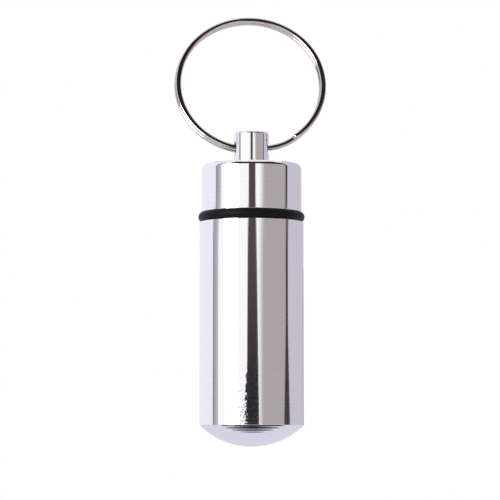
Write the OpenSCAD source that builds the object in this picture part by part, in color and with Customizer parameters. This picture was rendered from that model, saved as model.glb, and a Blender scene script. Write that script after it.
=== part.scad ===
// Pill fob keychain: a threaded aluminium pill case with a sealed screw cap and a key ring.
// All sizes are in millimetres. The origin is the lowest point of the domed base, on the
// case's axis. +Z runs up that axis to the key ring. The ring hangs in a cross hole that
// runs along X, and it leans back towards +Y.

/* [Case] */
// Outside diameter of the case
case_d = 17.4; // [15:0.1:26]
// Height from the bottom of the dome up to the shoulder that carries the seal
shoulder_h = 37.5; // [20:0.5:90]
// Height of the domed base
dome_h = 3.6; // [2:0.1:5]
// Metal under the pill space, measured at the middle of the dome
base_wall = 3.2; // [2.4:0.1:6]
// Wall of the neck, from the bore to the root of the thread
neck_wall = 0.6; // [0.4:0.05:1.5]
// Width of the bevel round the floor of the bore
floor_bevel = 0.8; // [0.2:0.1:1.5]
// Width of the small bevels on turned edges
edge_bevel = 0.12; // [0.05:0.01:0.3]

/* [Seal] */
// Diameter of the rubber cord of the seal, before it is squeezed
seal_cord_d = 1.8; // [1.2:0.05:2.4]
// Height that the tightened cap squeezes the seal down to
seal_h = 1.55; // [1:0.05:2]
// How far the seal stands out past the side of the case
seal_proud = 0.2; // [0:0.05:0.5]
// Gap between the seal and its seat on the neck
seal_gap = 0.1; // [0.05:0.01:0.3]

/* [Thread] */
// Rise of the thread in one turn
thread_pitch = 1; // [0.75:0.05:1.5]
// Depth of the thread, root to crest
thread_depth = 0.5; // [0.3:0.05:0.7]
// Length of the threaded neck above the seal's seat
thread_length = 5.8; // [4:0.1:10]
// How far the crest stands out past the seal's seat
crest_proud = 0.25; // [0.1:0.05:0.5]
// Gap between neck and cap, measured at root and crest
thread_gap = 0.15; // [0.1:0.01:0.3]
// Sideways gap between the flanks of the two threads, as a share of the pitch
flank_gap = 0.06; // [0.03:0.01:0.08]

/* [Cap] */
// How far the side of the cap lies inside the side of the case
cap_step = 0.35; // [0:0.05:0.6]
// Roof of the cap, from the hollow to the flat top
cap_roof = 1.6; // [1:0.1:4]
// Gap between the end of the neck and the roof
cap_end_gap = 0.6; // [0.3:0.1:2]
// Depth of the plain mouth below the cap's thread
cap_mouth = 0.9; // [0.5:0.1:2]
// Gap between the crest of the thread on the neck and the plain mouth of the cap
mouth_gap = 0.2; // [0.15:0.01:0.4]
// Width of the bevel round the top of the cap
cap_bevel = 0.42; // [0.1:0.02:0.6]

/* [Stem] */
// Diameter of the stem on the cap
stem_d = 5.85; // [5:0.05:9]
// Height of the stem above the flat top of the cap
stem_h = 5.5; // [4.8:0.1:9]
// Radius of the rounded edge at the top of the stem
stem_round = 0.4; // [0.1:0.05:0.8]
// Height of the cross hole's axis above the flat top of the cap
hole_h = 2.7; // [2.4:0.1:3.2]
// Width of the countersink at each end of the cross hole
hole_sink = 0.12; // [0.05:0.01:0.3]
// Gap that the ring's wire keeps to the wall of the cross hole as the ring swings
hole_gap = 0.24; // [0.1:0.01:0.4]

/* [Key ring] */
// Outside diameter of the key ring
ring_d = 25.6; // [20:0.2:40]
// Width of the flat wire, across the ring
wire_w = 0.95; // [0.7:0.05:1.2]
// Thickness of one turn of the wire, along the ring's axis
wire_t = 0.72; // [0.5:0.02:0.9]
// Gap between the two turns of the ring
turn_gap = 0.1; // [0.06:0.01:0.2]
// How far each turn has sprung sideways out of line with the other
turn_shift = 0.1; // [0:0.02:0.2]
// Width of the bevels along the wire's edges
wire_bevel = 0.16; // [0.05:0.01:0.25]
// How far the wire's middle lies below the axis of the cross hole
wire_drop = 0.2; // [0:0.02:0.3]

/* [Hidden] */
$fn = 96;

// How far a cut runs past the face that it opens
overshoot = 1;

// Case, from the seal inwards
case_r = case_d / 2;
seal_r = case_r + seal_proud;
seal_mid_r = seal_r - seal_cord_d / 2;
seat_r = seal_r - seal_cord_d - seal_gap;
crest_r = seat_r + crest_proud;
root_r = crest_r - thread_depth;
bore_r = root_r - neck_wall;
dome_r = (case_r * case_r + dome_h * dome_h) / (2 * dome_h);

// Heights up the axis
seat_top = shoulder_h + seal_h;
neck_top = seat_top + thread_length;
cap_ceiling = neck_top + cap_end_gap;
cap_top = cap_ceiling + cap_roof;
hole_z = cap_top + hole_h;

// Cap
cap_r = case_r - cap_step;
cap_mouth_r = crest_r + mouth_gap;
stem_r = stem_d / 2;

// One pitch of the thread: share of the pitch and share of the depth at each corner
thread_corners = [[0, 0], [0.3, 1], [0.45, 1], [0.75, 0]];
corner_count = len(thread_corners);
thread_steps = 36;
// Length over which a thread runs out to its root
run_out = 0.5;
// How far a thread's rod reaches into the solid or the hollow next to it
thread_bite = 0.3;

// Key ring
bundle_t = 2 * wire_t + turn_gap;
ring_mid_r = (ring_d - wire_w) / 2;
wire_reach = norm([wire_w / 2 + wire_drop, bundle_t / 2]);
hole_r = wire_reach + hole_gap;
wire_z = hole_z - wire_drop;
// The ring leans back until it touches the plane that the seal's side touches,
// which is how ring and case lie together on a flat surface
lean_reach = 2 * ring_mid_r + wire_w / 2;
ring_lean = asin(seal_r / norm([lean_reach, bundle_t / 2])) - atan2(bundle_t / 2, lean_reach);
// Angles along the wire, counted from the lowest point of the ring
ring_steps = 48;
wire_start = 36;
cross_start = 366;
cross_end = 394;
wire_end = 722;

// Share of full depth at height z, for a thread that runs out at low and at high
function thread_fade(z, low, high) =
    max(0, min(1, (z - low) / run_out, (high - z) / run_out));

// A rod with a helical thread. Its rows of points follow the helix, so the point after
// the last step of one row is the first point of the row one turn further up. gap widens
// the rod for a hollow, and the thread runs out at the heights low and high.
module threaded_rod(gap, flank, low, high, bottom, top) {
    z0 = seat_top - (ceil((seat_top - bottom) / thread_pitch) + 1) * thread_pitch;
    rows = (ceil((top - z0) / thread_pitch) + 1) * corner_count;
    shifts = [-flank, -flank, flank, flank];
    points = [
        for (row = [0:rows])
            for (i = [0:thread_steps - 1])
                let (
                    corner = thread_corners[row % corner_count],
                    share = floor(row / corner_count) + corner[0]
                        + (gap > 0 ? shifts[row % corner_count] : 0),
                    z = z0 + thread_pitch * (share + i / thread_steps),
                    r = root_r + gap + thread_depth * corner[1] * thread_fade(z, low, high),
                    a = 360 * i / thread_steps
                )
                [r * cos(a), r * sin(a), z],
        [0, 0, z0 + thread_pitch / 2],
        [0, 0, z0 + thread_pitch * (rows / corner_count + 0.5)]
    ];
    last = thread_steps - 1;
    bottom_point = (rows + 1) * thread_steps;
    function at(row, i) = i <= last ? row * thread_steps + i : (row + corner_count) * thread_steps;
    bottom_rim = concat(
        [for (i = [0:last]) at(0, i)],
        [for (row = [corner_count:-1:1]) at(row, 0)]
    );
    top_rim = concat(
        [for (i = [0:last]) at(rows, i)],
        [for (row = [rows - 1:-1:rows - corner_count]) at(row, last)]
    );
    faces = concat(
        [
            for (i = [0:last])
                for (row = [0:rows - 1 - (i == last ? corner_count : 0)])
                    each [
                        [at(row, i), at(row + 1, i), at(row + 1, i + 1)],
                        [at(row, i), at(row + 1, i + 1), at(row, i + 1)]
                    ]
        ],
        [
            for (k = [0:len(bottom_rim) - 1])
                [bottom_point, bottom_rim[k], bottom_rim[(k + 1) % len(bottom_rim)]]
        ],
        [
            for (k = [0:len(top_rim) - 1])
                [bottom_point + 1, top_rim[(k + 1) % len(top_rim)], top_rim[k]]
        ]
    );
    intersection() {
        polyhedron(points = points, faces = faces);
        translate([0, 0, bottom]) cylinder(r = 2 * crest_r, h = top - bottom);
    }
}

// Upright ring or rod with a bevel at its top outer edge
module bevelled_rod(r, h, bevel) {
    cylinder(r = r, h = h - bevel);
    translate([0, 0, h - bevel]) cylinder(r1 = r, r2 = r - bevel, h = bevel);
}

// The case: domed base, straight side, seat for the seal, threaded neck and pill space
module case_body() {
    color("#D5D4DD")
    difference() {
        union() {
            intersection() {
                translate([0, 0, dome_r]) sphere(r = dome_r, $fn = 180);
                cylinder(r = case_r, h = dome_h);
            }
            translate([0, 0, dome_h]) bevelled_rod(case_r, shoulder_h - dome_h, edge_bevel);
            translate([0, 0, dome_h]) cylinder(r = seat_r, h = seat_top - dome_h);
            threaded_rod(
                0, 0,
                seat_top + run_out / 2, neck_top,
                seat_top - thread_bite, neck_top
            );
        }
        translate([0, 0, base_wall + floor_bevel]) cylinder(r = bore_r, h = neck_top);
        translate([0, 0, base_wall])
            cylinder(r1 = bore_r - floor_bevel, r2 = bore_r, h = floor_bevel);
        translate([0, 0, neck_top - edge_bevel])
            cylinder(r1 = bore_r, r2 = bore_r + 2 * edge_bevel, h = 2 * edge_bevel);
    }
}

// The seal: a rubber ring squeezed flat between the shoulder and the rim of the cap
module o_ring() {
    color("#1B1B1D")
    translate([0, 0, shoulder_h + seal_h / 2])
        rotate_extrude()
            intersection() {
                translate([seal_mid_r, 0]) circle(d = seal_cord_d, $fn = 48);
                translate([seal_mid_r - seal_cord_d, -seal_h / 2])
                    square([2 * seal_cord_d, seal_h]);
            }
}

// The stem: a rod with a rounded top edge
module stem() {
    cylinder(r = stem_r, h = stem_h - stem_round);
    translate([0, 0, stem_h - stem_round])
        rotate_extrude()
            intersection() {
                union() {
                    square([stem_r - stem_round, stem_round]);
                    translate([stem_r - stem_round, 0]) circle(r = stem_round, $fn = 32);
                }
                square([stem_r, stem_round]);
            }
}

// Countersink at one end of the cross hole, opening towards +X
module sink() {
    translate([stem_r - hole_sink, 0, 0])
        rotate([0, 90, 0])
            cylinder(r1 = hole_r, r2 = hole_r + 2 * hole_sink, h = 2 * hole_sink);
}

// The cap: hollow and threaded inside, with a cross-drilled stem turned from the same bar
module cap() {
    color("#CFCDD6")
    difference() {
        union() {
            translate([0, 0, seat_top]) bevelled_rod(cap_r, cap_top - seat_top, cap_bevel);
            translate([0, 0, cap_top]) stem();
        }
        translate([0, 0, seat_top - overshoot]) cylinder(r = cap_mouth_r, h = cap_mouth + overshoot);
        threaded_rod(
            thread_gap, flank_gap,
            seat_top - run_out, cap_ceiling,
            seat_top + cap_mouth - thread_bite, cap_ceiling
        );
        translate([0, 0, hole_z]) {
            rotate([0, 90, 0]) cylinder(r = hole_r, h = stem_d + 2 * overshoot, center = true);
            sink();
            mirror([1, 0, 0]) sink();
        }
    }
}

// Section of the flat wire, with bevelled edges: [across the ring, along its axis]
wire_section = [
    for (corner = [[1, -1], [1, 1], [-1, 1], [-1, -1]])
        let (
            edge = [corner[0] * wire_w / 2, corner[1] * wire_t / 2],
            along_t = [0, corner[1] * wire_bevel],
            along_w = [corner[0] * wire_bevel, 0],
            upright = corner[0] * corner[1] < 0
        )
        each upright ? [edge - along_w, edge - along_t] : [edge - along_t, edge - along_w]
];

// Which turn the wire is on at angle a: 0.5 on the front turn, -0.5 on the back one
function turn_side(a) =
    let (s = max(0, min(1, (a - cross_start) / (cross_end - cross_start))))
    0.5 - s * s * (3 - 2 * s);

// Point of the wire at angle a, out from the ring's middle circle and along its axis
function wire_point(a, out, along) =
    let (r = ring_mid_r + out, side = turn_side(a))
    [
        r * sin(a) + 2 * side * turn_shift,
        -side * (wire_t + turn_gap) - along,
        ring_mid_r - r * cos(a)
    ];

// Angles of the wire's sections, start to end
wire_angles = let (count = ceil((wire_end - wire_start) * ring_steps / 360))
    [for (i = [0:count]) wire_start + (wire_end - wire_start) * i / count];

// The key ring: one flat wire wound in two turns, which cross over beside the stem
module split_ring() {
    sides = len(wire_section);
    count = len(wire_angles);
    points = [
        for (a = wire_angles)
            for (p = wire_section)
                wire_point(a, p[0], p[1])
    ];
    walls = [
        for (i = [0:count - 2])
            for (j = [0:sides - 1])
                let (k = (j + 1) % sides)
                each [
                    [i * sides + j, (i + 1) * sides + k, i * sides + k],
                    [i * sides + j, (i + 1) * sides + j, (i + 1) * sides + k]
                ]
    ];
    ends = [
        for (j = [1:sides - 2])
            each [
                [0, j, j + 1],
                [(count - 1) * sides, (count - 1) * sides + j + 1, (count - 1) * sides + j]
            ]
    ];
    color("#B9B4AE")
    translate([0, 0, wire_z])
        rotate([-ring_lean, 0, 0])
            polyhedron(points = points, faces = concat(walls, ends));
}

// Least gap between the facing sides of the two turns, taken along the wire
turn_gaps = [
    for (a = wire_angles)
        if (a + 360 <= wire_end)
            wire_point(a + 360, 0, wire_t / 2)[1] - wire_point(a, 0, -wire_t / 2)[1]
];
echo(least_gap_between_turns = min(turn_gaps));

case_body();
cap();
o_ring();
split_ring();
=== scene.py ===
import math

import bmesh
import bpy
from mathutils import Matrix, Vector


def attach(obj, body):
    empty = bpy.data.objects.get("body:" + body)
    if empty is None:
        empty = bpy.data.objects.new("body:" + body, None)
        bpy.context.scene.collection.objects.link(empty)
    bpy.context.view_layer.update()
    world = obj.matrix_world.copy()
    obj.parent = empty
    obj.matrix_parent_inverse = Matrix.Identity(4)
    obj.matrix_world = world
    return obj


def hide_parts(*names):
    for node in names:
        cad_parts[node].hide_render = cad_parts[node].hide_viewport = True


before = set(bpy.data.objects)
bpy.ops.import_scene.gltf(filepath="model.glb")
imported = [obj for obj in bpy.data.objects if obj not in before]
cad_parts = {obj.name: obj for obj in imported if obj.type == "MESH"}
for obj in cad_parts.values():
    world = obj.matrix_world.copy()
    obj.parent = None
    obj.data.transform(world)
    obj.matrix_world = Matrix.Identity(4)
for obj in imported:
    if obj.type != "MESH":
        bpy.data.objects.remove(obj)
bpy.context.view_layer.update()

# Sizes in millimetres, which the meshes turn into metres. Almost all are those of the part's
# source. The edges of the wire are rounder here.
MM = 0.001

CASE_R = 8.7
DOME_H = 3.6
DOME_R = (CASE_R ** 2 + DOME_H ** 2) / (2 * DOME_H)
SHOULDER_Z = 37.5
EDGE_BEVEL = 0.12
SEAT_R = 7.0
SEAT_TOP_Z = 39.05
ROOT_R = 6.75
NECK_TOP_Z = 44.85
BORE_R = 6.15
BORE_FLOOR_Z = 3.2
FLOOR_BEVEL = 0.8

PITCH = 1.0
THREAD_DEPTH = 0.5
THREAD_START_Z = 39.3
THREAD_GAP = 0.15
FLANK_GAP = 0.06
RUN_OUT = 0.5

SEAL_MID_R = 8.0
SEAL_CORD_R = 0.9
SEAL_H = 1.55

CAP_R = 8.35
CAP_MOUTH_R = 7.45
CAP_MOUTH_Z = 39.95
CAP_CEILING_Z = 45.45
CAP_TOP_Z = 47.05
CAP_BEVEL = 0.42
STEM_R = 2.925
STEM_TOP_Z = 52.55
STEM_ROUND = 0.4
STEM_SUNK = 0.5
HOLE_Z = 49.75
HOLE_R = 1.264
HOLE_SINK = 0.12

RING_MID_R = 12.325
RING_LEAN = math.radians(18.98)
WIRE_W = 0.95
WIRE_T = 0.72
WIRE_ROUND = 0.33
WIRE_Z = 49.55
TURN_GAP = 0.1
TURN_SHIFT = 0.1
WIRE_START = 36
WIRE_END = 722
CROSS_START = 366
CROSS_END = 394

COLUMNS = 192

# Spacings of the surface patterns, in millimetres. The real turned marks, the rubber's grain
# and the plate's scuffs are finer than a pixel, so all three are drawn coarser.
MARK_SPACING = 0.3
CHATTER_SPACING = 0.38
GRAIN_SPACING = 0.25
SCUFF_SPACING = 0.4

# The patch of chatter on the side of the case: its middle, in degrees to the left of the
# front, and, in millimetres, where it starts to fade and ends to either side and upwards, the
# gap between it and the dome, and its depth.
CHATTER_AZIMUTH = 13
CHATTER_FULL_REACH = 0.3
CHATTER_END_REACH = 1.1
CHATTER_FULL_Z = 4.0
CHATTER_END_Z = 14.0
CHATTER_OFF_DOME = 0.1
CHATTER_DEPTH = 0.075


def linear(code):
    """Linear red, green and blue of an sRGB hex value."""
    shares = [int(code[i:i + 2], 16) / 255 for i in (1, 3, 5)]
    return [s / 12.92 if s <= 0.04045 else ((s + 0.055) / 1.055) ** 2.4 for s in shares]


def add(tree, kind, inputs=None, **settings):
    """Adds a node with its settings. An input is a number, a colour or another node's output."""
    node = tree.nodes.new(kind)
    for name, value in settings.items():
        setattr(node, name, value)
    for key, value in (inputs or {}).items():
        socket = node.inputs[key]
        if not socket.enabled:
            socket = next(s for s in node.inputs if s.name == key and s.enabled)
        if isinstance(value, bpy.types.NodeSocket):
            tree.links.new(value, socket)
        else:
            socket.default_value = value
    return node


def calc(tree, operation, *values):
    """Output of a Math node."""
    return add(tree, "ShaderNodeMath", dict(enumerate(values)), operation=operation).outputs[0]


def remap(tree, value, start, end, first=0.0, last=1.0):
    """Output of a Map Range node: first where the value is start, and last where it is end."""
    inputs = {"Value": value, "From Min": start, "From Max": end, "To Min": first, "To Max": last}
    return add(tree, "ShaderNodeMapRange", inputs).outputs[0]


def tinted(tree, value, start, end, first, last):
    """Output of a colour ramp from one sRGB colour at start to another at end."""
    ramp = add(tree, "ShaderNodeValToRGB", {"Fac": value})
    low, high = ramp.color_ramp.elements
    low.position = start
    low.color = (*linear(first), 1)
    high.position = end
    high.color = (*linear(last), 1)
    return ramp.outputs[0]


def object_parts(tree):
    """X, Y and Z of a piece's own coordinates, in metres."""
    place = add(tree, "ShaderNodeTexCoord")
    return add(tree, "ShaderNodeSeparateXYZ", {0: place.outputs["Object"]}).outputs


def object_noise(tree, spacing, detail, roughness=0.5):
    """Output of a noise in a piece's own coordinates. Its spacing is in millimetres."""
    place = add(tree, "ShaderNodeTexCoord")
    inputs = {
        "Vector": place.outputs["Object"],
        "Scale": 1 / (spacing * MM),
        "Detail": detail,
        "Roughness": roughness,
    }
    return add(tree, "ShaderNodeTexNoise", inputs).outputs[0]


def bumped(tree, height, depth, normal=None):
    """Normal of a surface with a bump of a depth in millimetres, over an earlier bump if given."""
    inputs = {"Height": height, "Distance": depth * MM, "Strength": 1.0}
    if normal is not None:
        inputs["Normal"] = normal
    return add(tree, "ShaderNodeBump", inputs).outputs[0]


def end_with_surface(tree, inputs):
    """Ends a material with a Principled shader."""
    shader = add(tree, "ShaderNodeBsdfPrincipled", inputs)
    add(tree, "ShaderNodeOutputMaterial", {"Surface": shader.outputs[0]})


def end_with_glow(tree, colour):
    """Ends a card's material with a plain glow of strength 1."""
    glow = add(tree, "ShaderNodeEmission", {"Color": colour})
    add(tree, "ShaderNodeOutputMaterial", {"Surface": glow.outputs[0]})


def empty_material(name):
    """A material with an empty node tree."""
    material = bpy.data.materials.new(name)
    material.use_nodes = True
    material.node_tree.nodes.clear()
    return material


def turned_position(tree):
    """Distance along a turned surface: it changes up a side and across an end face alike."""
    parts = object_parts(tree)
    level = add(tree, "ShaderNodeCombineXYZ", {0: parts[0], 1: parts[1]})
    radius = add(tree, "ShaderNodeVectorMath", {0: level.outputs[0]}, operation="LENGTH")
    return calc(tree, "ADD", radius.outputs["Value"], parts[2])


def azimuth_round_axis(tree, parts):
    """Angle round the Z axis from the front, -Y, growing towards +X."""
    return calc(tree, "ARCTAN2", parts[0], calc(tree, "MULTIPLY", parts[1], -1.0))


def chatter_height(tree):
    """Chatter left by the tool in one patch of the side, next to the edge of the dome.

    Its ripples are about 0.4 mm apart. They are strongest at the bottom and end 14 mm up.
    """
    parts = object_parts(tree)
    middle = CASE_R * math.radians(CHATTER_AZIMUTH)
    across = calc(tree, "MULTIPLY_ADD", azimuth_round_axis(tree, parts), CASE_R, middle)
    reach = calc(tree, "ABSOLUTE", across)
    sides = remap(tree, reach, CHATTER_FULL_REACH, CHATTER_END_REACH, 1.0, 0.0)
    height = calc(tree, "MULTIPLY", parts[2], 1 / MM)
    upwards = remap(tree, height, CHATTER_FULL_Z, CHATTER_END_Z, 1.0, 0.0)
    on_side = calc(tree, "GREATER_THAN", height, DOME_H + CHATTER_OFF_DOME)
    patch = calc(tree, "MULTIPLY", sides, calc(tree, "MULTIPLY", upwards, on_side))
    return calc(tree, "MULTIPLY", object_noise(tree, CHATTER_SPACING, 0.0), patch)


def painted_hole_shade(tree):
    """Share of painted shade: 1 inside the cross hole of the stem, and 0 on the turned surfaces."""
    place = add(tree, "ShaderNodeTexCoord")
    from_hole = add(
        tree,
        "ShaderNodeVectorMath",
        {0: place.outputs["Object"], 1: (0, 0, HOLE_Z * MM)},
        operation="SUBTRACT",
    )
    across = add(
        tree,
        "ShaderNodeVectorMath",
        {0: from_hole.outputs[0], 1: (0, 1, 1)},
        operation="MULTIPLY",
    )
    radius = add(tree, "ShaderNodeVectorMath", {0: across.outputs[0]}, operation="LENGTH")
    mouth_r = HOLE_R + HOLE_SINK
    return remap(tree, radius.outputs["Value"], mouth_r * MM, (mouth_r + 0.01) * MM, 1.0, 0.0)


def turned_aluminium(name, low_tint, high_tint, mark_depth, detail):
    """Aluminium bar, turned on a lathe and burnished bright, then left bare.

    The marks of the tool run round the axis, so reflections stay sharp round the barrel and
    smear along it. The real feed is about 0.08 mm, finer than a pixel. It is drawn at
    0.3 mm so that the marks show as faint rings. detail is "chatter" or "drilled". With
    "drilled", the inside of the stem's cross hole gets painted shade, a dark grey colour, and a
    rougher finish.
    """
    material = empty_material(name)
    tree = material.node_tree
    marks = add(
        tree,
        "ShaderNodeTexNoise",
        {"W": turned_position(tree), "Scale": 1 / (MARK_SPACING * MM), "Detail": 2.0, "Roughness": 0.6},
        noise_dimensions="1D",
    ).outputs[0]
    colour = tinted(tree, marks, 0.35, 0.65, low_tint, high_tint)
    roughness = remap(tree, marks, 0.3, 0.7, 0.06, 0.075)
    normal = bumped(tree, marks, mark_depth)
    if detail == "chatter":
        normal = bumped(tree, chatter_height(tree), CHATTER_DEPTH, normal)
    if detail == "drilled":
        # Painted shade: inside the cross hole the metal's colour goes dark grey, #3C3A3B. The rougher
        # finish there is the drilled surface's own.
        inside = painted_hole_shade(tree)
        colour = add(
            tree,
            "ShaderNodeMix",
            {"Factor": inside, "A": colour, "B": (*linear("#3C3A3B"), 1)},
            data_type="RGBA",
        ).outputs[2]
        roughness = calc(tree, "MULTIPLY_ADD", inside, 0.35, roughness)
    round_axis = add(tree, "ShaderNodeTangent", direction_type="RADIAL", axis="Z")
    look = {
        "Base Color": colour,
        "Metallic": 1.0,
        "Roughness": roughness,
        "Anisotropic": 0.8,
        "Anisotropic Rotation": 0.25,
        "Normal": normal,
        "Tangent": round_axis.outputs[0],
    }
    end_with_surface(tree, look)
    return material


def moulded_rubber():
    """Nitrile rubber, moulded: nearly black, with a soft sheen and a very fine grain."""
    material = empty_material("moulded_nitrile_rubber")
    tree = material.node_tree
    grain = object_noise(tree, GRAIN_SPACING, 3.0)
    look = {
        "Base Color": tinted(tree, grain, 0.3, 0.7, "#0C0C0D", "#121213"),
        "Roughness": remap(tree, grain, 0.3, 0.7, 0.4, 0.5),
        "IOR": 1.5,
        "Specular IOR Level": 0.1,
        "Normal": bumped(tree, grain, 0.006),
    }
    end_with_surface(tree, look)
    return material


def polished_nickel():
    """Spring steel wire with a polished nickel plate: warm grey, almost a mirror, faintly scuffed."""
    material = empty_material("polished_nickel_plate")
    tree = material.node_tree
    scuffs = object_noise(tree, SCUFF_SPACING, 4.0, 0.6)
    look = {
        "Base Color": tinted(tree, scuffs, 0.3, 0.7, "#CFC8C0", "#DCD6CF"),
        "Metallic": 1.0,
        "Roughness": remap(tree, scuffs, 0.3, 0.7, 0.07, 0.13),
        "Normal": bumped(tree, scuffs, 0.0012),
    }
    end_with_surface(tree, look)
    return material


def rounded(corners, steps=5, hold=0.05):
    """Profile through the corners, each rounded by its own radius.

    A corner is (radius from the axis, height, rounding). A close row of points on each side of
    a rounding keeps the flats next to it flat.
    """
    points = []
    for i, (x, y, radius) in enumerate(corners):
        corner = Vector((x, y))
        if radius == 0 or i in (0, len(corners) - 1):
            points.append(corner)
            continue
        back = (Vector(corners[i - 1][:2]) - corner).normalized()
        ahead = (Vector(corners[i + 1][:2]) - corner).normalized()
        half = back.angle(ahead) / 2
        reach = radius / math.tan(half)
        middle = corner + (back + ahead).normalized() * radius / math.sin(half)
        first = corner + back * reach - middle
        last = corner + ahead * reach - middle
        points.append(corner + back * (reach + hold))
        points += [middle + radius * first.slerp(last, k / steps) for k in range(steps + 1)]
        points.append(corner + ahead * (reach + hold))
    return [tuple(p) for p in points]


def turn(bm, profile):
    """Turns a profile round the Z axis. A profile point on the axis becomes one vertex."""
    rows = []
    for r, z in profile:
        if r < 1e-6:
            rows.append([bm.verts.new((0, 0, z * MM))] * COLUMNS)
            continue
        row = []
        for i in range(COLUMNS):
            a = 2 * math.pi * i / COLUMNS
            row.append(bm.verts.new((r * math.cos(a) * MM, r * math.sin(a) * MM, z * MM)))
        rows.append(row)
    for low, high in zip(rows, rows[1:]):
        for i in range(COLUMNS):
            j = (i + 1) % COLUMNS
            corners = list(dict.fromkeys([low[i], low[j], high[j], high[i]]))
            if len(corners) > 2:
                bm.faces.new(corners)


def thread_height(share, flank):
    """Height of the thread's profile, 0 to 1, at a share of one pitch, with softened corners.

    The profile rises to its crest and falls again at fixed shares of the pitch. flank widens it.
    """
    start, crest, crest_end, end = -flank, 0.3 - flank, 0.45 + flank, 0.75 + flank

    def sharp(s):
        for turns in (-1, 0, 1):
            at = s + turns
            if start <= at <= end:
                return min(1, (at - start) / (crest - start), (end - at) / (end - crest_end))
        return 0

    return sum(sharp(share % 1 + k * 0.02) for k in range(-2, 3)) / 5


def turn_thread(bm, low, high, radius_at):
    """A helical surface between two heights. Its rows follow the thread, and run flat at the ends."""
    per_turn = 16
    first = math.floor(low - 1)
    count = (math.ceil(high - first) + 2) * per_turn
    rows = []
    for k in range(count + 1):
        row = []
        for i in range(COLUMNS):
            a = 2 * math.pi * i / COLUMNS
            z = first + PITCH * (k / per_turn + i / COLUMNS)
            inside = min(high, max(low, z))
            share = (inside - SEAT_TOP_Z) / PITCH - i / COLUMNS
            r = radius_at(share, inside)
            row.append(bm.verts.new((r * math.cos(a) * MM, r * math.sin(a) * MM, inside * MM)))
        rows.append(row)
    for k in range(count):
        for i in range(COLUMNS):
            step = per_turn if i == COLUMNS - 1 else 0
            j = (i + 1) % COLUMNS
            if k + 1 + step <= count:
                bm.faces.new([rows[k][i], rows[k + step][j], rows[k + 1 + step][j], rows[k + 1][i]])


def finish_mesh(bm, name, sharp_angle=35):
    """Closes the seams, faces the surface outwards, and makes an object with smooth shading."""
    bmesh.ops.remove_doubles(bm, verts=bm.verts, dist=0.0005 * MM)
    bmesh.ops.dissolve_degenerate(bm, edges=bm.edges, dist=0.0005 * MM)
    bmesh.ops.recalc_face_normals(bm, faces=bm.faces)
    mesh = bpy.data.meshes.new(name)
    bm.to_mesh(mesh)
    bm.free()
    mesh.polygons.foreach_set("use_smooth", [True] * len(mesh.polygons))
    mesh.set_sharp_from_angle(angle=math.radians(sharp_angle))
    piece = bpy.data.objects.new(name, mesh)
    bpy.context.scene.collection.objects.link(piece)
    return piece


# Rings that the tool left on the dome, next to its edge: spacing, half height and reach.
DOME_RING = 0.55
DOME_RING_H = 0.013
DOME_RING_REACH = 2.5


def ring_height(distance):
    """Height of the tool's rings at a distance down the dome from its edge."""
    fade = max(0, 1 - distance / DOME_RING_REACH)
    return DOME_RING_H * fade * (1 - math.cos(2 * math.pi * distance / DOME_RING))


def dome_profile():
    """Profile of the domed base, from the axis out to its edge, with the tool's rings near the edge."""
    edge = math.asin(CASE_R / DOME_R)
    # Wide steps over the middle of the dome, and close ones where the rings are.
    angles = [edge * k / 40 for k in range(30)]
    reach = edge - angles[-1]
    angles += [angles[-1] + reach * k / 90 for k in range(1, 90)]
    points = []
    for a in angles:
        # The rings stay just inside the straight side.
        r = DOME_R + ring_height((edge - a) * DOME_R)
        points.append((min(CASE_R - 0.02, r * math.sin(a)), DOME_R - r * math.cos(a), 0))
    return points


def male_radius(share, z):
    """Radius of the neck's thread."""
    fade = max(0, min(1, (z - THREAD_START_Z) / RUN_OUT, (NECK_TOP_Z - z) / RUN_OUT))
    return ROOT_R + THREAD_DEPTH * thread_height(share, 0) * fade


def female_radius(share, z):
    """Radius of the cap's thread, which starts with a short lead-in."""
    fade = max(0, min(1, (CAP_CEILING_Z - z) / RUN_OUT))
    thread = ROOT_R + THREAD_GAP + THREAD_DEPTH * thread_height(share, FLANK_GAP) * fade
    lead_in = CAP_MOUTH_R - (z - CAP_MOUTH_Z)
    return max(thread, lead_in)


def make_case():
    """The case: dome, side, shoulder, seat, threaded neck and the pill space inside."""
    bm = bmesh.new()
    outside = dome_profile() + [
        (CASE_R, DOME_H, 0.05),
        (CASE_R, SHOULDER_Z - EDGE_BEVEL, 0.05),
        (CASE_R - EDGE_BEVEL, SHOULDER_Z, 0.04),
        (SEAT_R, SHOULDER_Z, 0.08),
        (SEAT_R, SEAT_TOP_Z, 0.06),
        (ROOT_R, SEAT_TOP_Z, 0.06),
        (ROOT_R, THREAD_START_Z, 0),
    ]
    turn(bm, rounded(outside))
    turn_thread(bm, THREAD_START_Z, NECK_TOP_Z, male_radius)
    inside = [
        (ROOT_R, NECK_TOP_Z, 0),
        (BORE_R + EDGE_BEVEL, NECK_TOP_Z, 0.04),
        (BORE_R, NECK_TOP_Z - EDGE_BEVEL, 0.04),
        (BORE_R, BORE_FLOOR_Z + FLOOR_BEVEL, 0.3),
        (BORE_R - FLOOR_BEVEL, BORE_FLOOR_Z, 0.3),
        (0, BORE_FLOOR_Z, 0),
    ]
    turn(bm, rounded(inside))
    return finish_mesh(bm, "turned_case")


def make_cap_shell():
    """The cap without its stem: rim, side, bevel and top, and the threaded hollow inside."""
    bm = bmesh.new()
    outside = [
        (0, CAP_TOP_Z, 0),
        (CAP_R - CAP_BEVEL, CAP_TOP_Z, 0.06),
        (CAP_R, CAP_TOP_Z - CAP_BEVEL, 0.9),
        (CAP_R, SEAT_TOP_Z, 0.1),
        (CAP_MOUTH_R, SEAT_TOP_Z, 0.1),
        (CAP_MOUTH_R, CAP_MOUTH_Z, 0),
    ]
    turn(bm, rounded(outside))
    turn_thread(bm, CAP_MOUTH_Z, CAP_CEILING_Z, female_radius)
    inside = [
        (ROOT_R + THREAD_GAP, CAP_CEILING_Z, 0),
        (0, CAP_CEILING_Z, 0),
    ]
    turn(bm, rounded(inside))
    return finish_mesh(bm, "turned_cap")


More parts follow.
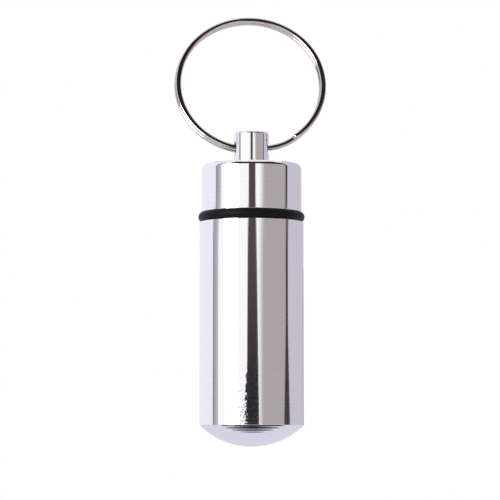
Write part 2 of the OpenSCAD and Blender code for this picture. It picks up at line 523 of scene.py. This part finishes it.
def make_stem():
    """The stem, which starts inside the roof of the cap, with its cross hole drilled through."""
    bm = bmesh.new()
    low = CAP_TOP_Z - STEM_SUNK
    side_rows = 60
    profile = [(0, low)]
    profile += [
        (STEM_R, low + (STEM_TOP_Z - STEM_ROUND - low) * k / side_rows)
        for k in range(side_rows)
    ]
    profile += rounded(
        [(STEM_R, STEM_TOP_Z - 1, 0), (STEM_R, STEM_TOP_Z, STEM_ROUND), (0, STEM_TOP_Z, 0)], 10
    )[1:]
    turn(bm, profile)
    stem = finish_mesh(bm, "stem")

    bm = bmesh.new()
    wide = HOLE_R + 2 * HOLE_SINK
    edge = STEM_R - HOLE_SINK
    drill = [
        (0, -STEM_R - HOLE_SINK),
        (wide, -STEM_R - HOLE_SINK),
        (HOLE_R, -edge),
        (HOLE_R, edge),
        (wide, STEM_R + HOLE_SINK),
        (0, STEM_R + HOLE_SINK),
    ]
    turn(bm, drill)
    for vertex in bm.verts:
        x, y, z = vertex.co
        vertex.co = (z, y, HOLE_Z * MM - x)
    cutter = finish_mesh(bm, "drill")

    cut = stem.modifiers.new("cross_hole", "BOOLEAN")
    cut.operation = "DIFFERENCE"
    cut.solver = "EXACT"
    cut.object = cutter
    bpy.context.view_layer.update()
    drilled = bpy.data.meshes.new_from_object(stem.evaluated_get(bpy.context.evaluated_depsgraph_get()))
    stem.modifiers.clear()
    bpy.data.objects.remove(cutter)
    bpy.data.objects.remove(stem)
    return drilled


def make_cap():
    """The cap and its stem, turned from one bar."""
    shell = make_cap_shell()
    stem = make_stem()
    bm = bmesh.new()
    bm.from_mesh(shell.data)
    bm.from_mesh(stem)
    bpy.data.objects.remove(shell)
    return finish_mesh(bm, "turned_cap")


def make_seal():
    """The seal: a rubber cord squeezed flat above and below, round on its two sides."""
    bm = bmesh.new()
    middle_z = SHOULDER_Z + SEAL_H / 2
    flat = math.asin(SEAL_H / 2 / SEAL_CORD_R)
    steps = 12
    section = []
    for start in (-flat, math.pi - flat):
        for k in range(steps + 1):
            a = start + 2 * flat * k / steps
            section.append((SEAL_MID_R + SEAL_CORD_R * math.cos(a), middle_z + SEAL_CORD_R * math.sin(a)))
    section.append(section[0])
    turn(bm, section)
    return finish_mesh(bm, "rubber_seal", 80)


def wire_section():
    """Section of the flat wire, with rounded edges: (across the ring, along its axis)."""
    w, t = WIRE_W / 2, WIRE_T / 2
    loop = [
        (w, 0, 0),
        (w, t, WIRE_ROUND),
        (-w, t, WIRE_ROUND),
        (-w, -t, WIRE_ROUND),
        (w, -t, WIRE_ROUND),
        (w, 0, 0),
    ]
    return rounded(loop, 5, 0.02)[:-1]


def wire_point(degrees, out, along):
    """Place of a point of the wire, in metres, with the ring leaning back."""
    share = max(0, min(1, (degrees - CROSS_START) / (CROSS_END - CROSS_START)))
    # One turn lies half a step behind the middle and the other half a step before it, and the
    # wire crosses smoothly between them.
    side = 0.5 - share * share * (3 - 2 * share)
    a = math.radians(degrees)
    r = RING_MID_R + out
    x = r * math.sin(a) + 2 * side * TURN_SHIFT
    y = -side * (WIRE_T + TURN_GAP) - along
    z = RING_MID_R - r * math.cos(a)
    c, s = math.cos(RING_LEAN), math.sin(RING_LEAN)
    return Vector((x, y * c + z * s, WIRE_Z - y * s + z * c)) * MM


def make_key_ring():
    """The key ring: flat wire wound in two turns, with both ends cut square and deburred."""
    bm = bmesh.new()
    section = wire_section()
    steps = 240
    angles = [WIRE_START + (WIRE_END - WIRE_START) * k / steps for k in range(steps + 1)]
    end_sizes = [(0.0, 0.8), (0.2, 0.93), (0.5, 1.0)]
    stations = [(WIRE_START + turned, size) for turned, size in end_sizes]
    stations += [(a, 1.0) for a in angles[1:-1]]
    stations += [(WIRE_END - turned, size) for turned, size in reversed(end_sizes)]
    rows = [
        [bm.verts.new(wire_point(a, x * size, y * size)) for x, y in section]
        for a, size in stations
    ]
    count = len(section)
    for low, high in zip(rows, rows[1:]):
        for j in range(count):
            k = (j + 1) % count
            bm.faces.new([low[j], low[k], high[k], high[j]])
    bm.faces.new(rows[0])
    bm.faces.new(rows[-1])
    return finish_mesh(bm, "wound_key_ring")


def dress(piece, node, body, material):
    """Puts a finished piece on its body, in place of its solid."""
    piece.data.materials.clear()
    piece.data.materials.append(material)
    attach(piece, body)
    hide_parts(node)


def make_object():
    """All four pieces with their materials."""
    side = turned_aluminium("turned_aluminium_case", "#F7F6F9", "#FAF9FC", 0.0003, "chatter")
    # The cap's material paints shade into the cross hole of its stem.
    top = turned_aluminium("turned_aluminium_cap", "#F7F6F9", "#FBFAFC", 0.0007, "drilled")
    dress(make_case(), "case_body", "case", side)
    dress(make_cap(), "cap", "cap", top)
    dress(make_seal(), "o_ring", "seal", moulded_rubber())
    dress(make_key_ring(), "split_ring", "key_ring", polished_nickel())


# The camera: degrees round to the image's left of the front, metres away, aside and up, its
# tilt in degrees, where 90 is level, and its lens in millimetres.
CAMERA_AZIMUTH = 3.0
CAMERA_DISTANCE = 0.375
CAMERA_ASIDE = 0.00024
CAMERA_Z = 0.0036
CAMERA_TILT = 94.45
CAMERA_LENS = 161.9

# The set's plain colours: white card, pale walls, grey card and black cloth.
WHITE = "#FFFFFF"
PALE_WALL = "#F2F0FA"
SHADED_WALL = "#C8C4D0"
PALE_GREY = "#C4C2CC"
GREY = "#8A8A92"
WARM_GREY = "#B0A7A7"
BLACK_CLOTH = "#40383E"
DEEP_BLACK_CLOTH = "#26242A"

# Distances and heights in the set, in metres, and the elevation between its two rows of cards.
WALL_DISTANCE = 0.6
FLAG_DISTANCE = 0.59
ROW_BREAK = 6.5
FLOOR_R = 0.65
FLOOR_Z = -0.035
SHEET_Z = -0.02
UNDER_FLAG_Z = -0.0185

# Strength of the surround where it lights the object, and of the floor's own glow.
SURROUND_LIGHT = 0.55
FLOOR_LIFT = 0.3


def make_camera():
    """A long lens level with the base of the case, tilted up to take in the key ring."""
    a = math.radians(CAMERA_AZIMUTH)
    data = bpy.data.cameras.new("camera")
    data.sensor_width = 36
    data.lens = CAMERA_LENS
    data.clip_start = 0.01
    camera = bpy.data.objects.new("camera", data)
    camera.location = (
        -CAMERA_DISTANCE * math.sin(a) - CAMERA_ASIDE * math.cos(a),
        -CAMERA_DISTANCE * math.cos(a) + CAMERA_ASIDE * math.sin(a),
        CAMERA_Z,
    )
    camera.rotation_euler = (math.radians(CAMERA_TILT), 0, -a)
    bpy.context.scene.collection.objects.link(camera)
    bpy.context.scene.camera = camera


def shown_rays(tree):
    """1 for camera rays and for reflected and refracted rays, 0 for light itself."""
    path = add(tree, "ShaderNodeLightPath").outputs
    seen = calc(tree, "MAXIMUM", path["Is Camera Ray"], path["Is Glossy Ray"])
    return calc(tree, "MAXIMUM", seen, path["Is Transmission Ray"])


def make_world():
    """A white surround, which lights the object softly."""
    world = bpy.data.worlds.new("white_surround")
    bpy.context.scene.world = world
    world.use_nodes = True
    tree = world.node_tree
    tree.nodes.clear()
    strength = remap(tree, shown_rays(tree), 0.0, 1.0, SURROUND_LIGHT, 1.0)
    light = add(tree, "ShaderNodeBackground", {"Color": (1, 1, 1, 1), "Strength": strength})
    add(tree, "ShaderNodeOutputWorld", {"Surface": light.outputs[0]})


def make_floor():
    """A plain white floor, some way below the hanging object. It keeps the object's shadow."""
    bm = bmesh.new()
    bmesh.ops.create_circle(bm, cap_ends=True, segments=96, radius=FLOOR_R)
    mesh = bpy.data.meshes.new("floor")
    bm.to_mesh(mesh)
    bm.free()
    floor = bpy.data.objects.new("floor", mesh)
    floor.location = (0, 0, FLOOR_Z)
    bpy.context.scene.collection.objects.link(floor)
    material = empty_material("white_floor")
    tree = material.node_tree
    paint = add(tree, "ShaderNodeBsdfDiffuse", {"Color": (*linear("#E8E8E8"), 1)})
    lift = calc(tree, "MULTIPLY", shown_rays(tree), FLOOR_LIFT)
    glow = add(tree, "ShaderNodeEmission", {"Strength": lift})
    both = add(tree, "ShaderNodeAddShader", {0: paint.outputs[0], 1: glow.outputs[0]})
    add(tree, "ShaderNodeOutputMaterial", {"Surface": both.outputs[0]})
    mesh.materials.append(material)


CARD_MIDDLE = Vector((0, 0, 0.025))


def direction(azimuth, elevation):
    """Unit vector seen from the object. Azimuth 0 is the camera's, and grows to the image's right."""
    a = math.radians(azimuth - CAMERA_AZIMUTH)
    e = math.radians(elevation)
    return Vector((math.sin(a) * math.cos(e), -math.cos(a) * math.cos(e), math.sin(e)))


def show_in_reflections(name, mesh, material):
    """Puts a card or sheet in the set. Only reflections see it, and it casts no shadow."""
    piece = bpy.data.objects.new(name, mesh)
    bpy.context.scene.collection.objects.link(piece)
    mesh.materials.append(material)
    piece.visible_camera = False
    piece.visible_diffuse = False
    piece.visible_shadow = False
    piece.visible_transmission = False


def make_card(name, low_azimuths, high_azimuths, elevations, distance, material):
    """A curved card round the object. Its two edges may lean: each has a low and a high azimuth."""
    bm = bmesh.new()
    across = 48
    up = 12
    grid = []
    for k in range(up + 1):
        e = elevations[0] + (elevations[1] - elevations[0]) * k / up
        start = low_azimuths[0] + (high_azimuths[0] - low_azimuths[0]) * k / up
        end = low_azimuths[1] + (high_azimuths[1] - low_azimuths[1]) * k / up
        row = []
        for i in range(across + 1):
            a = start + (end - start) * i / across
            row.append(bm.verts.new(CARD_MIDDLE + distance * direction(a, e)))
        grid.append(row)
    for low, high in zip(grid, grid[1:]):
        for i in range(across):
            bm.faces.new([low[i], low[i + 1], high[i + 1], high[i]])
    mesh = bpy.data.meshes.new(name)
    bm.to_mesh(mesh)
    bm.free()
    show_in_reflections(name, mesh, material)


def card_material(name, colour):
    """A card, wall or flag of one plain colour."""
    material = empty_material(name)
    end_with_glow(material.node_tree, (*linear(colour), 1))
    return material


# Walls and cards in a ring round the object: name, first and last azimuth, colours at its two
# edges. Azimuths are in degrees to the image's right of the camera.
CARDS = [
    ("left_wall", -180, -94, PALE_WALL, PALE_WALL),
    ("left_grey_card", -94, -78, GREY, PALE_GREY),
    ("front_white_card", -78, 14, WHITE, WHITE),
    ("right_grey_card_edge", 14, 26, WHITE, WARM_GREY),
    ("right_grey_card", 26, 86, WARM_GREY, WARM_GREY),
    ("right_wall", 86, 180, SHADED_WALL, SHADED_WALL),
]


def front_flag_material():
    """Black cloth round the camera. Less light falls on its foot."""
    material = empty_material("front_flag")
    tree = material.node_tree
    share = remap(tree, object_parts(tree)[2], 0.01, 0.07)
    end_with_glow(tree, tinted(tree, share, 0.0, 1.0, "#18161A", "#504848"))
    return material


def fading_card_material(name, first, last, start, end):
    """A card that fades from one colour to another between two azimuths, as a lit card does."""
    material = empty_material(name)
    tree = material.node_tree
    azimuth = azimuth_round_axis(tree, object_parts(tree))
    low, high = [math.radians(a - CAMERA_AZIMUTH) for a in (start, end)]
    end_with_glow(tree, tinted(tree, remap(tree, azimuth, low, high), 0.0, 1.0, first, last))
    return material


def make_surround():
    """The ring of walls and cards, in two rows. The upper row is turned a little further round."""
    for row, bottom, top, turned in (("low", -40, ROW_BREAK, 0), ("high", ROW_BREAK, 52, 4.5)):
        for name, start, end, first, last in CARDS:
            span = (start + turned, end + turned)
            if first == last:
                material = card_material(name, first)
            else:
                material = fading_card_material(name, first, last, *span)
            make_card(f"{name}_{row}", span, span, (bottom, top), WALL_DISTANCE, material)
    pale = card_material("top_card", PALE_WALL)
    make_card("top_card", (-180, 180), (-180, 180), (50, 90), 0.61, pale)


def make_flags():
    """Black cloth round the camera, over it and at the right, and a grey card behind the object.

    The cloth gives the metal its dark bands.
    """
    front = front_flag_material()
    make_card("front_flag", (-12, 24), (-8, 10.5), (-12, ROW_BREAK), FLAG_DISTANCE, front)
    make_card("front_flag_top", (-6, 9), (-6, 9), (ROW_BREAK, 40), FLAG_DISTANCE, front)
    black = card_material("black_cloth", BLACK_CLOTH)
    make_card("right_flag", (81, 87), (81, 87), (2, ROW_BREAK), FLAG_DISTANCE, black)
    make_card("right_flag_top", (85, 91), (85, 91), (ROW_BREAK, 50), FLAG_DISTANCE, black)
    make_card("right_flag_foot", (67, 106), (81, 87), (-10, 2), FLAG_DISTANCE, black)
    deep = card_material("deep_black_cloth", DEEP_BLACK_CLOTH)
    make_card("upper_front_flag", (-58, 88), (-58, 88), (26, 66), 0.58, deep)
    grey = card_material("back_grey_card", WARM_GREY)
    make_card("back_grey_card", (152, 174), (152, 174), (-18, 6), 0.12, grey)


def make_sheet(name, corners, height, material):
    """A flat sheet under the object, which only reflections see."""
    mesh = bpy.data.meshes.new(name)
    mesh.from_pydata([(x, y, height) for x, y in corners], [], [(0, 1, 2, 3)])
    show_in_reflections(name, mesh, material)


def rectangle(left, right, near, far):
    """Corners of a flat rectangle, in metres."""
    return [(left, near), (right, near), (right, far), (left, far)]


def make_under_sheets():
    """A pale sheet under the object, with black cloth just above it towards the camera."""
    pale = card_material("under_sheet", "#DAD8E6")
    make_sheet("under_sheet", rectangle(-0.5, 0.5, -0.5, 0.15), SHEET_Z, pale)
    dark = card_material("under_flag", DEEP_BLACK_CLOTH)
    make_sheet("under_flag", rectangle(-0.022, 0.024, -0.018, -0.001), UNDER_FLAG_Z, dark)


def make_lamp(name, place, size, power, shows):
    """A soft lamp that points at the object. shows says whether reflections see it."""
    data = bpy.data.lights.new(name, "AREA")
    data.shape = "DISK"
    data.size = size
    data.energy = power
    lamp = bpy.data.objects.new(name, data)
    lamp.location = place
    lamp.rotation_euler = (CARD_MIDDLE - Vector(place)).to_track_quat("-Z", "Y").to_euler()
    lamp.visible_camera = False
    lamp.visible_glossy = shows
    bpy.context.scene.collection.objects.link(lamp)


def make_lamps():
    """A soft key lamp at the left, which reflections see, one above and a weaker one at the right."""
    make_lamp("key_lamp", tuple(CARD_MIDDLE + 0.57 * direction(-46, 10)), 0.34, 2.0, True)
    make_lamp("top_lamp", (-0.4, -0.4, 1.0), 0.7, 4, False)
    make_lamp("fill_lamp", (0.7, -0.3, 0.6), 0.6, 1.5, False)


make_camera()
make_object()
make_world()
make_floor()
make_surround()
make_flags()
make_under_sheets()
make_lamps()
bpy.context.scene.view_settings.view_transform = "Standard"
